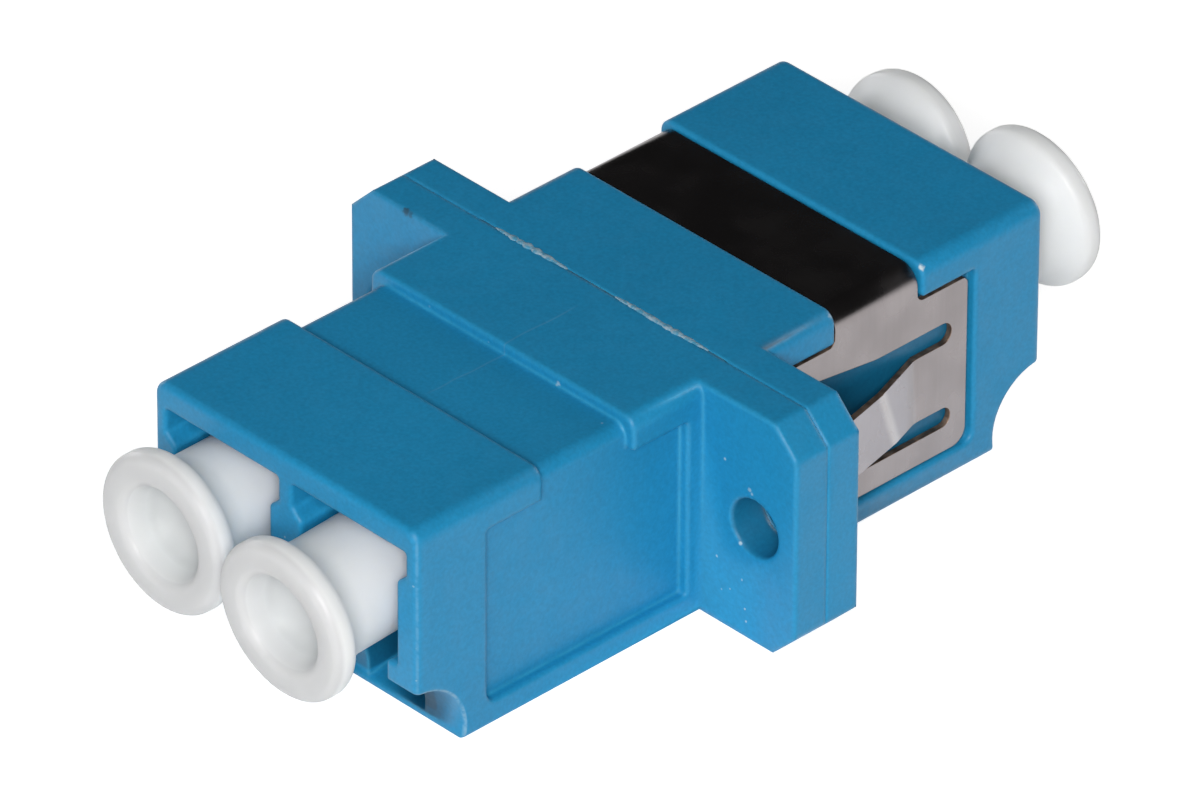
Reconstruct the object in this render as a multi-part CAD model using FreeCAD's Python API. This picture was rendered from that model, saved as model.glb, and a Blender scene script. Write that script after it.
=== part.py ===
# Duplex LC fibre adapter in the SC simplex footprint: two identical moulded half housings welded
# at the flange, two split ceramic sleeves held between them, a folded steel panel clip over the
# rear half, and a dust cap in each of the four ports.
#
# Frame: millimetres, +Z up, +X right, +Y towards the half that carries the clip.  The origin is
# on the underside, midway across the width, in the weld plane between the two half housings.
# Every half housing, clip and cap is drawn on the +Y side; what belongs to the front is turned
# half a turn about Z.

import FreeCAD, Part
import math
import os

# ---------------------------------------------------------------- driving dimensions (mm)

# half housing; lengths run outwards from the weld plane, heights up from the underside
HALF_LENGTH = 14.75           # weld plane to port face
BODY_TOP_RADIUS = 0.55        # long edges of the top
BODY_FOOT_RADIUS = 0.3        # long edges of the underside
PORT_FACE_RADIUS = 0.25       # rim of the port face

SCREW_SPACING = 18.0
SCREW_HOLE_DIAMETER = 2.2
FLANGE_END = 2.0              # screw axis to the end of the flange
FLANGE_HALF_THICKNESS = 1.5
FLANGE_CHAMFER = 1.1
FLANGE_EDGE_RADIUS = 0.12
WELD_GROOVE = 0.05            # bevel each half gives the weld line

LOCATING_PIN_DIAMETER = 1.0
LOCATING_PIN_LENGTH = 0.7
LOCATING_PIN_HEIGHT = 1.9
LOCATING_PIN_SET_IN = 1.0     # pin axis inwards from the screw axis
LOCATING_PIN_CLEARANCE = 0.05

# port openings; the heights of the plug's bay are measured from the port axis
PORT_PITCH = 6.25
PORT_AXIS_HEIGHT = 6.0
PORT_WIDTH = 4.7
PORT_RISE = 2.4               # axis to the roof of the bay
PORT_CORNER_RADIUS = 0.12
ROOF_THICKNESS = 0.98
HEAD_WIDENING = 0.45         # how much wider the bay's head is on each side
HEAD_LEDGE_LOW = 1.05
HEAD_LEDGE_HIGH = 1.45
HEAD_WALL = 0.75              # left between the clip recess and the wide head
LATCH_LIP_DROP = 2.38         # axis to the top of the lips
LATCH_LIP_THICKNESS = 0.95
LATCH_LIP_GAP = 3.7
LATCH_SLOT_WIDTH = 2.8
LATCH_SLOT_START = 4.6
LATCH_SLOT_FLOOR = 0.8
LATCH_RAMP_START = 9.6
LATCH_RAMP_FRONT_FLOOR = 0.25
LATCH_CATCH_WIDTH = 4.6       # pocket behind the lips, where the hooks spring out
LATCH_CATCH_START = 8.6
LATCH_CATCH_END = 12.2
LATCH_CATCH_FLOOR = 2.3
FINGER_NOTCH_RADIUS = 2.2
FINGER_NOTCH_HEIGHT = 0.62

# recess for the panel clip, a T on each side joined by a channel over the top
RECESS_DEPTH = 0.4
RECESS_WALL = 0.605           # left between the recess and the bay
RECESS_SET_BACK = 0.7         # behind the flange
RECESS_END = 11.5
RECESS_BOTTOM = 1.0
RECESS_SHOULDER_DROP = 1.3    # top of the body to where the T narrows to the channel
CHANNEL_START = 4.75
CHANNEL_END = 8.95
RECESS_TOP_RADIUS = 0.5
RECESS_CORNER_RADIUS = 0.45
RECESS_STEP_RADIUS = 0.12

# split sleeve, and the holder on the wall across the port that keeps it
SLEEVE_BORE = 1.246
SLEEVE_WALL = 0.187
SLEEVE_LENGTH = 6.8
SLEEVE_SLOT = 0.35
SLEEVE_SIDE_CLEARANCE = 0.065
SLEEVE_END_CLEARANCE = 0.05
WEB_THICKNESS = 1.5
HOLDER_WALL = 0.525
HOLDER_LIP = 0.65
HOLDER_LIP_CATCH = 0.03       # how far the lip reaches in over the sleeve's end
HOLDER_LEAD_IN = 0.4          # widening of the lip's bore outwards, radius for length
HOLDER_EDGE_CHAMFER = 0.15

# panel clip
CLIP_THICKNESS = 0.25
CLIP_SEAT_GAP = 0.02          # between the sheet and the recess floor
CLIP_EDGE_GAP = 0.12          # between the sheet's edges and the recess
CLIP_REAR_GAP = 0.24
CLIP_SHOULDER_GAP = 0.2
CLIP_FOOT_GAP = 0.08
CLIP_INNER_RADIUS = 0.55
CLIP_CORNER_RADIUS = 0.65
CLIP_STEP_RADIUS = 0.3
PANEL_THICKNESS = 2.0         # thickest panel held between the flange and the tongues
PANEL_GAP = 0.1
TONGUE_FOOT = 2.9
TONGUE_HEIGHT = 2.65
TONGUE_ROOT = 8.75            # where the tongue bends outwards
TONGUE_ROOT_LAP = 0.3         # length of the tongue that runs on in the plate
TONGUE_SLOPE = 0.34
TONGUE_TIP_SLOPE = 0.22
TONGUE_CREASE_TOP = 6.4
TONGUE_CREASE_BOTTOM = 7.5
TONGUE_BEND_RADIUS = 1.0
UPPER_SLOT = 0.86
LOWER_SLOT = 0.78
SLOT_END = 10.5
SLOT_END_FLAT = 0.02          # left between the two corner arcs at the end of a slot
UPPER_SLOT_FLARE = 0.75       # rise of the slot's upper edge at the front of the plate
UPPER_SLOT_FLARE_START = 6.9
UPPER_SLOT_FLARE_RADIUS = 2.0

# dust cap; depths run inwards and heights outwards from the port face
CAP_STAND_OFF = 2.9
CAP_BARREL_CLEARANCE = 0.16   # to the nearer walls of the port
CAP_BARREL_WALL = 0.74
CAP_BEAD_HEIGHT = 0.1
CAP_BEAD_WIDTH = 0.4
CAP_BEAD_RAMP = 0.15
CAP_BEAD_SET_BACK = 1.0       # bead behind the front of the catch pocket
CAP_NOSE_LENGTH = 1.4         # bead to the inner end
CAP_NOSE_TAPER = 0.14
CAP_RIM_GAP = 0.25            # between the rims of two caps in line
CAP_RIM_THICKNESS = 0.8
CAP_RIM_EDGE_RADIUS = 0.36
CAP_FLARE_LENGTH = 0.7
CAP_FLARE_RADIUS = 1.4
CAP_FACE_WIDTH = 1.14         # flat ring round the cup
CAP_CUP_TAPER = 0.8
CAP_CUP_DEPTH = 1.7
CAP_CUP_FLOOR_RADIUS = 1.3
CAP_CUP_MOUTH_RADIUS = 0.35
CAP_WEB = 0.8

# how each cap sits: end (+1 rear, -1 front), side (+1 right, -1 left), how far it is pulled out
# of its seat, and how far it droops at the port face as it turns about its bead
CAP_SEATS = {
    "front_left": (-1, -1, 0.0, 0.04),
    "front_right": (-1, 1, 0.35, 0.2),
    "rear_left": (1, -1, 0.6, 0.24),
    "rear_right": (1, 1, 0.55, -0.2),
}

# ---------------------------------------------------------------- sizes that follow

PORT_X = PORT_PITCH / 2
PORT_TOP = PORT_AXIS_HEIGHT + PORT_RISE
PORT_HEAD_WIDTH = PORT_WIDTH + 2 * HEAD_WIDENING
LATCH_LIP_TOP = PORT_AXIS_HEIGHT - LATCH_LIP_DROP
LATCH_LIP_BOTTOM = LATCH_LIP_TOP - LATCH_LIP_THICKNESS

BODY_WIDTH = PORT_PITCH + PORT_WIDTH + 2 * (RECESS_WALL + RECESS_DEPTH)
BODY_HEIGHT = PORT_TOP + ROOF_THICKNESS
FLANGE_WIDTH = SCREW_SPACING + 2 * FLANGE_END
LOCATING_PIN_X = SCREW_SPACING / 2 - LOCATING_PIN_SET_IN
NOTCH_START = HALF_LENGTH - math.sqrt(FINGER_NOTCH_RADIUS**2 - FINGER_NOTCH_HEIGHT**2)

RECESS_START = FLANGE_HALF_THICKNESS + RECESS_SET_BACK
RECESS_SHOULDER = BODY_HEIGHT - RECESS_SHOULDER_DROP
HEAD_START = RECESS_END + HEAD_WALL

SLEEVE_RADIUS = SLEEVE_BORE / 2 + SLEEVE_WALL
HOLDER_SEAT_RADIUS = SLEEVE_RADIUS + SLEEVE_SIDE_CLEARANCE
HOLDER_SEAT_DEPTH = SLEEVE_LENGTH / 2 + SLEEVE_END_CLEARANCE
HOLDER_LENGTH = HOLDER_SEAT_DEPTH + HOLDER_LIP

CLIP_INNER_X = BODY_WIDTH / 2 - RECESS_DEPTH + CLIP_SEAT_GAP
CLIP_FACE_X = CLIP_INNER_X + CLIP_THICKNESS
CLIP_INNER_Z = BODY_HEIGHT - RECESS_DEPTH + CLIP_SEAT_GAP
CLIP_TOP_Z = CLIP_INNER_Z + CLIP_THICKNESS
CLIP_FOOT_Z = RECESS_BOTTOM + CLIP_FOOT_GAP
CLIP_FRONT = RECESS_START + CLIP_EDGE_GAP
CLIP_REAR = RECESS_END - CLIP_REAR_GAP
TONGUE_TIP = FLANGE_HALF_THICKNESS + PANEL_THICKNESS + PANEL_GAP
TONGUE_TOP = TONGUE_FOOT + TONGUE_HEIGHT
SLOT_TOP = TONGUE_TOP + UPPER_SLOT
SLOT_BOTTOM = TONGUE_FOOT - LOWER_SLOT

CAP_BARREL_RADIUS = min(PORT_WIDTH / 2, PORT_RISE, LATCH_LIP_DROP) - CAP_BARREL_CLEARANCE
CAP_RIM_RADIUS = (PORT_PITCH - CAP_RIM_GAP) / 2
CAP_BEAD_DEPTH = HALF_LENGTH - LATCH_CATCH_END + CAP_BEAD_SET_BACK

OVERCUT = 1.0                 # how far a cutting tool runs past the surface it opens
TOLERANCE = 1e-4              # distance under which an edge counts as lying in a plane

X_AXIS = FreeCAD.Vector(1, 0, 0)
Y_AXIS = FreeCAD.Vector(0, 1, 0)
Z_AXIS = FreeCAD.Vector(0, 0, 1)
ORIGIN = FreeCAD.Vector(0, 0, 0)


# ---------------------------------------------------------------- outlines and solids

def rounded_wire(corners):
    """Closed wire through (u, v, radius) corners, each one turned by an arc of its radius."""
    points = [FreeCAD.Vector(u, v, 0) for u, v, _ in corners]
    turns = []
    for index, (_, _, radius) in enumerate(corners):
        corner = points[index]
        back = (points[index - 1] - corner).normalize()
        ahead = (points[(index + 1) % len(points)] - corner).normalize()
        half_angle = back.getAngle(ahead) / 2
        reach = radius / math.tan(half_angle)
        inward = (back + ahead).normalize() if radius else back
        middle = corner + inward * (radius / math.sin(half_angle) - radius)
        turns.append((corner + back * reach, middle, corner + ahead * reach))
    edges = []
    for index, (start, middle, end) in enumerate(turns):
        if corners[index][2]:
            edges.append(Part.Arc(start, middle, end).toShape())
        following = turns[(index + 1) % len(turns)][0]
        if end.distanceToPoint(following) > Part.Precision.confusion():
            edges.append(Part.LineSegment(end, following).toShape())
    return Part.Wire(edges)


def prism(corners, axis, start, end):
    """Solid with an outline across `axis`, from `start` to `end` along that axis.

    The outline is in (X, Z) for the Y axis, in (Y, Z) for the X axis and in (X, Y) for Z.
    """
    low = -end if axis == "Y" else start
    face = Part.Face(rounded_wire(corners))
    solid = face.extrude(Z_AXIS * (end - start))
    solid.translate(Z_AXIS * low)
    if axis == "Y":
        solid.rotate(ORIGIN, X_AXIS, 90)
    if axis == "X":
        solid.rotate(ORIGIN, FreeCAD.Vector(1, 1, 1), 120)
    return solid


def rectangle(u_low, u_high, v_low, v_high, radius=0):
    """Corners of a rectangle, all turned by one radius."""
    return [(u_low, v_low, radius), (u_high, v_low, radius),
            (u_high, v_high, radius), (u_low, v_high, radius)]


def both_sides(right_half):
    """Symmetric outline from the corners of its right half, listed from bottom to top."""
    return right_half + [(-u, v, radius) for u, v, radius in reversed(right_half)]


def rod(radius, x, z, start, end):
    """Cylinder along Y."""
    return Part.makeCylinder(radius, end - start, FreeCAD.Vector(x, start, z), Y_AXIS)


def edges_in_plane(shape, y):
    """Edges of a shape that lie in the plane at `y` across the adapter."""
    def lies_there(edge):
        box = edge.BoundBox
        return abs(box.YMin - y) < TOLERANCE and abs(box.YMax - y) < TOLERANCE
    return [edge for edge in shape.Edges if lies_there(edge)]


def half_turned(shape):
    """The same piece on the front half: half a turn about Z."""
    turned = shape.copy()
    turned.rotate(ORIGIN, Z_AXIS, 180)
    return turned


# ---------------------------------------------------------------- half housing

def body_block():
    """Bar from the weld plane to the port face, with its edges rounded."""
    half = BODY_WIDTH / 2
    section = both_sides([(half, 0, BODY_FOOT_RADIUS), (half, BODY_HEIGHT, BODY_TOP_RADIUS)])
    block = prism(section, "Y", 0, HALF_LENGTH)
    return block.makeFillet(PORT_FACE_RADIUS, edges_in_plane(block, HALF_LENGTH))


def half_flange():
    """One half of the flange plate, bevelled along the weld line."""
    half = FLANGE_WIDTH / 2
    inner = half - FLANGE_CHAMFER
    upper = BODY_HEIGHT - FLANGE_CHAMFER
    outline = both_sides([(inner, 0, 0), (half, FLANGE_CHAMFER, 0),
                          (half, upper, 0), (inner, BODY_HEIGHT, 0)])
    plate = prism(outline, "Y", 0, FLANGE_HALF_THICKNESS)
    plate = plate.makeFillet(FLANGE_EDGE_RADIUS, edges_in_plane(plate, FLANGE_HALF_THICKNESS))
    return plate.makeChamfer(WELD_GROOVE, edges_in_plane(plate, 0))


def clip_recess():
    """Tool for the clip's seat: a T on both sides, joined by a channel over the top."""
    step = RECESS_STEP_RADIUS
    above = BODY_HEIGHT + OVERCUT
    outline = [(RECESS_START, RECESS_BOTTOM, step), (RECESS_END, RECESS_BOTTOM, RECESS_CORNER_RADIUS),
               (RECESS_END, RECESS_SHOULDER, step), (CHANNEL_END, RECESS_SHOULDER, step),
               (CHANNEL_END, above, 0), (CHANNEL_START, above, 0),
               (CHANNEL_START, RECESS_SHOULDER, step), (RECESS_START, RECESS_SHOULDER, step)]
    reach = BODY_WIDTH / 2 + OVERCUT
    tool = prism(outline, "X", -reach, reach)
    floor = BODY_WIDTH / 2 - RECESS_DEPTH
    core = both_sides([(floor, -OVERCUT, 0), (floor, BODY_HEIGHT - RECESS_DEPTH, RECESS_TOP_RADIUS)])
    return tool.cut(prism(core, "Y", RECESS_START - OVERCUT, RECESS_END + OVERCUT))


def port_bay(x):
    """Tool for one port: the plug's bay, its latch lips, the ramped slot and the catch pocket."""
    mouth = HALF_LENGTH + OVERCUT
    corner = PORT_CORNER_RADIUS
    bay = both_sides([(LATCH_LIP_GAP / 2, LATCH_LIP_BOTTOM - corner, 0),
                      (LATCH_LIP_GAP / 2, LATCH_LIP_TOP, 0),
                      (PORT_WIDTH / 2, LATCH_LIP_TOP, corner),
                      (PORT_WIDTH / 2, PORT_TOP, corner)])
    head = both_sides([(PORT_WIDTH / 2, PORT_AXIS_HEIGHT + HEAD_LEDGE_LOW, 0),
                       (PORT_HEAD_WIDTH / 2, PORT_AXIS_HEIGHT + HEAD_LEDGE_HIGH, corner),
                       (PORT_HEAD_WIDTH / 2, PORT_TOP, corner)])
    tool = prism(bay, "Y", WEB_THICKNESS, mouth).fuse(prism(head, "Y", HEAD_START, mouth))
    ramp_slope = (LATCH_SLOT_FLOOR - LATCH_RAMP_FRONT_FLOOR) / (NOTCH_START - LATCH_RAMP_START)
    slot = [(LATCH_SLOT_START, LATCH_SLOT_FLOOR, corner), (LATCH_RAMP_START, LATCH_SLOT_FLOOR, 0),
            (mouth, LATCH_SLOT_FLOOR - ramp_slope * (mouth - LATCH_RAMP_START), 0),
            (mouth, LATCH_LIP_BOTTOM, 0), (LATCH_SLOT_START, LATCH_LIP_BOTTOM, 0)]
    tool = tool.fuse(prism(slot, "X", -LATCH_SLOT_WIDTH / 2, LATCH_SLOT_WIDTH / 2))
    catch = rectangle(LATCH_CATCH_START, LATCH_CATCH_END, LATCH_CATCH_FLOOR, LATCH_LIP_TOP + corner)
    tool = tool.fuse(prism(catch, "X", -LATCH_CATCH_WIDTH / 2, LATCH_CATCH_WIDTH / 2))
    tool.translate(X_AXIS * x)
    return tool


def finger_notch():
    """Tool for the round bite across the lower edge of the port face."""
    reach = BODY_WIDTH / 2 + OVERCUT
    base = FreeCAD.Vector(-reach, HALF_LENGTH, FINGER_NOTCH_HEIGHT)
    return Part.makeCylinder(FINGER_NOTCH_RADIUS, 2 * reach, base, X_AXIS)


def sleeve_holder(x):
    """Tube on the web, and the tool for its seat and the lead-in through its lip."""
    height = PORT_AXIS_HEIGHT
    tube = rod(HOLDER_SEAT_RADIUS + HOLDER_WALL, x, height, 0, HOLDER_LENGTH)
    tube = tube.makeChamfer(HOLDER_EDGE_CHAMFER, edges_in_plane(tube, HOLDER_LENGTH))
    seat = rod(HOLDER_SEAT_RADIUS, x, height, -OVERCUT, HOLDER_SEAT_DEPTH)
    inner_radius = SLEEVE_RADIUS - HOLDER_LIP_CATCH
    reach = HOLDER_LIP + OVERCUT
    lead_in = Part.makeCone(inner_radius, inner_radius + HOLDER_LEAD_IN * reach, reach,
                            FreeCAD.Vector(x, HOLDER_SEAT_DEPTH, height), Y_AXIS)
    return tube, seat.fuse(lead_in)


def locating_features():
    """Pin on the right of the weld face, and the tool for the socket on its left."""
    radius = LOCATING_PIN_DIAMETER / 2
    height = LOCATING_PIN_HEIGHT
    pin = rod(radius, LOCATING_PIN_X, height, -LOCATING_PIN_LENGTH, OVERCUT)
    socket = rod(radius + LOCATING_PIN_CLEARANCE, -LOCATING_PIN_X, height,
                 -OVERCUT, LOCATING_PIN_LENGTH + LOCATING_PIN_CLEARANCE)
    return pin, socket


def screw_hole(x):
    """Tool for one screw hole."""
    return rod(SCREW_HOLE_DIAMETER / 2, x, BODY_HEIGHT / 2, -OVERCUT, FLANGE_HALF_THICKNESS + OVERCUT)


def half_housing():
    """One moulding: body block and half flange, opened for ports, sleeves, clip and screws."""
    pin, socket = locating_features()
    cuts = [clip_recess(), finger_notch(), socket]
    holders = []
    bores = []
    for side in (-1, 1):
        holder, bore = sleeve_holder(side * PORT_X)
        holders.append(holder)
        bores.append(bore)
        cuts += [port_bay(side * PORT_X), screw_hole(side * SCREW_SPACING / 2)]
    housing = body_block().fuse(half_flange()).cut(cuts)
    return housing.fuse(holders + [pin]).cut(bores).removeSplitter()


# ---------------------------------------------------------------- sleeve

def split_sleeve(x):
    """Ceramic tube with a lengthwise slot, centred on the weld plane."""
    ends = (-SLEEVE_LENGTH / 2, SLEEVE_LENGTH / 2)
    outer = rod(SLEEVE_RADIUS, x, PORT_AXIS_HEIGHT, *ends)
    bore = rod(SLEEVE_BORE / 2, x, PORT_AXIS_HEIGHT, *ends)
    slot = prism(rectangle(x - SLEEVE_SLOT / 2, x + SLEEVE_SLOT / 2,
                           PORT_AXIS_HEIGHT, PORT_AXIS_HEIGHT + SLEEVE_BORE), "Y", *ends)
    return outer.cut([bore, slot])


# ---------------------------------------------------------------- panel clip

def folded_sheet():
    """The sheet folded over the body, as wide as the side plates all round."""
    outer_radius = CLIP_INNER_RADIUS + CLIP_THICKNESS
    right = [(CLIP_INNER_X, CLIP_INNER_Z, CLIP_INNER_RADIUS), (CLIP_INNER_X, CLIP_FOOT_Z, 0),
             (CLIP_FACE_X, CLIP_FOOT_Z, 0), (CLIP_FACE_X, CLIP_TOP_Z, outer_radius)]
    return prism(both_sides(right), "Y", CLIP_FRONT, CLIP_REAR)


def clip_outline():
    """Side view of the clip: a wide plate under a narrower strap."""
    shoulder = RECESS_SHOULDER - CLIP_SHOULDER_GAP
    above = BODY_HEIGHT + OVERCUT
    strap_front = CHANNEL_START + CLIP_EDGE_GAP
    strap_rear = CHANNEL_END - CLIP_EDGE_GAP
    corner = CLIP_STEP_RADIUS
    return [(CLIP_FRONT, CLIP_FOOT_Z, corner), (CLIP_REAR, CLIP_FOOT_Z, CLIP_CORNER_RADIUS),
            (CLIP_REAR, shoulder, corner), (strap_rear, shoulder, corner),
            (strap_rear, above, 0), (strap_front, above, 0),
            (strap_front, shoulder, corner), (CLIP_FRONT, shoulder, corner)]


def slot_outlines():
    """Side views of the two slots that free the tongue, and of the flat sheet it replaces."""
    front = CLIP_FRONT - OVERCUT
    upper_end = (UPPER_SLOT - SLOT_END_FLAT) / 2
    lower_end = (LOWER_SLOT - SLOT_END_FLAT) / 2
    upper = [(front, SLOT_TOP + UPPER_SLOT_FLARE, 0),
             (UPPER_SLOT_FLARE_START, SLOT_TOP, UPPER_SLOT_FLARE_RADIUS),
             (SLOT_END, SLOT_TOP, upper_end), (SLOT_END, TONGUE_TOP, upper_end),
             (front, TONGUE_TOP, 0)]
    lower = [(front, TONGUE_FOOT, 0), (SLOT_END, TONGUE_FOOT, lower_end),
             (SLOT_END, SLOT_BOTTOM, lower_end), (front, SLOT_BOTTOM, 0)]
    flat = rectangle(front, TONGUE_ROOT, TONGUE_FOOT - LOWER_SLOT / 2, TONGUE_TOP + UPPER_SLOT / 2)
    return [upper, lower, flat]


def tongue_section(crease_y, z):
    """Plan view of the bent tongue, whose crease lies at `crease_y` at this height."""
    crease_x = CLIP_FACE_X + TONGUE_SLOPE * (TONGUE_ROOT - crease_y)
    tip_x = crease_x + TONGUE_TIP_SLOPE * (crease_y - TONGUE_TIP)
    path = [(CLIP_FACE_X, TONGUE_ROOT + TONGUE_ROOT_LAP, 0),
            (CLIP_FACE_X, TONGUE_ROOT, TONGUE_BEND_RADIUS),
            (crease_x, crease_y, TONGUE_BEND_RADIUS), (tip_x, TONGUE_TIP, 0)]
    inner = [(x - CLIP_THICKNESS, y, bend) for x, y, bend in reversed(path)]
    wire = rounded_wire(path + inner)
    wire.translate(Z_AXIS * z)
    return wire


def tongue():
    """Spring tongue on the right plate, bent outwards from its root and eased at its crease."""
    sections = [tongue_section(TONGUE_CREASE_BOTTOM, TONGUE_FOOT),
                tongue_section(TONGUE_CREASE_TOP, TONGUE_TOP)]
    return Part.makeLoft(sections, True, True)


def panel_clip():
    """Steel clip: one folded sheet with a spring tongue cut from each side plate."""
    reach = CLIP_FACE_X + OVERCUT
    sheet = folded_sheet().common(prism(clip_outline(), "X", -reach, reach))
    sheet = sheet.cut([prism(outline, "X", -reach, reach) for outline in slot_outlines()])
    right_tongue = tongue()
    left_tongue = right_tongue.mirror(ORIGIN, X_AXIS)
    return sheet.fuse([right_tongue, left_tongue]).removeSplitter()


# ---------------------------------------------------------------- dust cap

def cap_profile():
    """Half section of a dust cap in (radius, height above the port face)."""
    face = CAP_STAND_OFF
    cup_floor = face - CAP_CUP_DEPTH
    web = cup_floor - CAP_WEB
    inner_end = -CAP_BEAD_DEPTH - CAP_NOSE_LENGTH
    rim_back = face - CAP_RIM_THICKNESS
    mouth = CAP_RIM_RADIUS - CAP_FACE_WIDTH
    barrel = CAP_BARREL_RADIUS
    bore = barrel - CAP_BARREL_WALL
    bead = barrel + CAP_BEAD_HEIGHT
    bead_top = -CAP_BEAD_DEPTH + CAP_BEAD_WIDTH / 2
    bead_foot = -CAP_BEAD_DEPTH - CAP_BEAD_WIDTH / 2
    return [
        (0, web, 0),
        (bore, web, 0),
        (bore, inner_end, 0),
        (barrel - CAP_NOSE_TAPER, inner_end, 0),
        (barrel, bead_foot - CAP_BEAD_RAMP, 0),
        (bead, bead_foot, 0),
        (bead, bead_top, 0),
        (barrel, bead_top + CAP_BEAD_RAMP, 0),
        (barrel, rim_back - CAP_FLARE_LENGTH, CAP_FLARE_RADIUS),
        (CAP_RIM_RADIUS, rim_back, CAP_RIM_EDGE_RADIUS),
        (CAP_RIM_RADIUS, face, CAP_RIM_EDGE_RADIUS),
        (mouth, face, CAP_CUP_MOUTH_RADIUS),
        (mouth - CAP_CUP_TAPER, cup_floor, CAP_CUP_FLOOR_RADIUS),
        (0, cup_floor, 0),
    ]


def dust_cap(end, side, pull, droop):
    """Dust cap turned about its axis and set in its port."""
    section = Part.Face(rounded_wire(cap_profile()))
    cap = section.revolve(ORIGIN, Y_AXIS, 360)
    tilt = math.degrees(math.asin(droop / CAP_BEAD_DEPTH))
    cap.rotate(FreeCAD.Vector(0, -CAP_BEAD_DEPTH, 0), X_AXIS, -tilt)
    cap.translate(FreeCAD.Vector(end * side * PORT_X, HALF_LENGTH + pull, PORT_AXIS_HEIGHT))
    return cap if end > 0 else half_turned(cap)


# ---------------------------------------------------------------- all pieces

def make_pieces():
    """Every piece of the adapter by node name."""
    rear = half_housing()
    pieces = {
        "rear_housing": rear,
        "front_housing": half_turned(rear),
        "left_sleeve": split_sleeve(-PORT_X),
        "right_sleeve": split_sleeve(PORT_X),
        "panel_clip": panel_clip(),
    }
    for seat, placing in CAP_SEATS.items():
        pieces[f"{seat}_dust_cap"] = dust_cap(*placing)
    return pieces


def main():
    os.makedirs("parts", exist_ok=True)
    for node, shape in make_pieces().items():
        shape.exportStep(f"parts/{node}.step")
        print(f"{node}: {shape.Volume:.2f} mm3, {len(shape.Solids)} solid, valid {shape.isValid()}")


main()
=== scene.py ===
"""Looks of a duplex fibre adapter: two moulded half housings welded at the flange, a folded steel
panel clip, two ceramic sleeves and four dust caps, on a pale studio floor.

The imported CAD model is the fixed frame, in metres: +X to the right, +Y towards the half that
carries the clip, +Z up, with the origin on the underside in the weld plane.
"""

import math

import bmesh
import bpy
from bpy.props import FloatProperty, FloatVectorProperty, IntProperty, PointerProperty
from mathutils import Matrix, Vector, noise


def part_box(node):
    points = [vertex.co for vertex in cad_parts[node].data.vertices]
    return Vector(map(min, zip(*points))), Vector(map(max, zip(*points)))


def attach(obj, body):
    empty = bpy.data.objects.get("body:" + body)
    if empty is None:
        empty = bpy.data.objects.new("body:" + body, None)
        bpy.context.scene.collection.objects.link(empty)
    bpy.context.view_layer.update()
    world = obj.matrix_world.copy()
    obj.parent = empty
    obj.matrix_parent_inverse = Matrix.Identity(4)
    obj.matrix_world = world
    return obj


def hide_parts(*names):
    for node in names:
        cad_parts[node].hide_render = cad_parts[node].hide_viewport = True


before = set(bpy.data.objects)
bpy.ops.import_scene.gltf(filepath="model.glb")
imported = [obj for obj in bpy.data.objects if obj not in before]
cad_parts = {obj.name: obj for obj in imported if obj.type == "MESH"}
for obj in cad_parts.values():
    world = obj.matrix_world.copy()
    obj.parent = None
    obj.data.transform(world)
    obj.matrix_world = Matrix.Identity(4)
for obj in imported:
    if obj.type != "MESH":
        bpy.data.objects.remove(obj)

bl_info = {
    "name": "Duplex fibre adapter",
    "version": (1, 0, 0),
    "blender": (4, 5, 0),
    "location": "3D View > Sidebar > Adapter",
    "description": "Housings, clip, sleeves and dust caps of a fibre adapter, and its studio",
    "category": "Object",
}

MM = 0.001
MIX_FIRST, MIX_SECOND, MIX_RESULT = 6, 7, 2    # colour sockets of a Mix node
SENSOR_WIDTH = 36.0           # of the camera, in mm
SURROUND_RADIUS = 3.5         # floor and backdrop, in metres
SURROUND_HEIGHT = 0.45
WHITE = (1.0, 1.0, 1.0)

# each lamp: name, azimuth and elevation in degrees, light on a surface that faces it, distance
# from the body's middle and width in metres, colour
LAMPS = (
    ("key", 45.0, 31.0, 0.88, 0.35, 0.1, (1.0, 0.985, 0.965)),
    ("fill", 6.0, 5.0, 0.40, 0.9, 1.1, WHITE),
    ("near", 60.0, 62.0, 0.05, 0.09, 0.02, WHITE),
    ("back", 175.0, 8.0, 0.36, 0.9, 0.5, WHITE),
    ("far", 266.0, 4.0, 0.42, 0.9, 0.5, WHITE),
)


# -------- places

# read from the frame
_, HOUSING_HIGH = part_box("rear_housing")
SLEEVE_LOW, SLEEVE_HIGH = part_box("right_sleeve")
_, CLIP_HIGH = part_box("panel_clip")
PORT_X = (SLEEVE_LOW.x + SLEEVE_HIGH.x) / 2
PORT_Z = (SLEEVE_LOW.z + SLEEVE_HIGH.z) / 2
PORT_FACE = HOUSING_HIGH.y
BODY_TOP = HOUSING_HIGH.z

# the moulding's inside, whose edges stay as they are: behind this much of the port face, within
# this far of the middle, and between these depths from the underside and the top
PORT_MOUTH = 0.35 * MM
INNER_HALF_WIDTH = 5.6 * MM
INNER_FLOOR = 0.02 * MM
INNER_ROOF = 0.68 * MM

CLIP_BENDS = 0.9 * MM         # the clip's bends end this far below its top
SAME_PLACE = 0.001 * MM       # corners nearer than this are one
SLEEVE_EDGE = 0.02 * MM       # rounding of the sleeves' edges
FLAT_TURN = 0.5               # in degrees: faces that turn by less are one flat face
ROUNDED = {"moulding": 38, "sleeve": 40, "clip": 40}    # edges that turn by more are rounded
CREASES = {"moulding": 50, "sleeve": 40, "clip": 45, "cap": 40, "flash": 60}  # or shaded sharp
FLASH_SPANS = (("left", -5.3, -1.7), ("right", 0.6, 5.2))  # weld flash across the top, in mm
FLASH_SEED = 3.0
FLASH_WIDTH = 2.3             # of the weld flash, over its height

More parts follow.
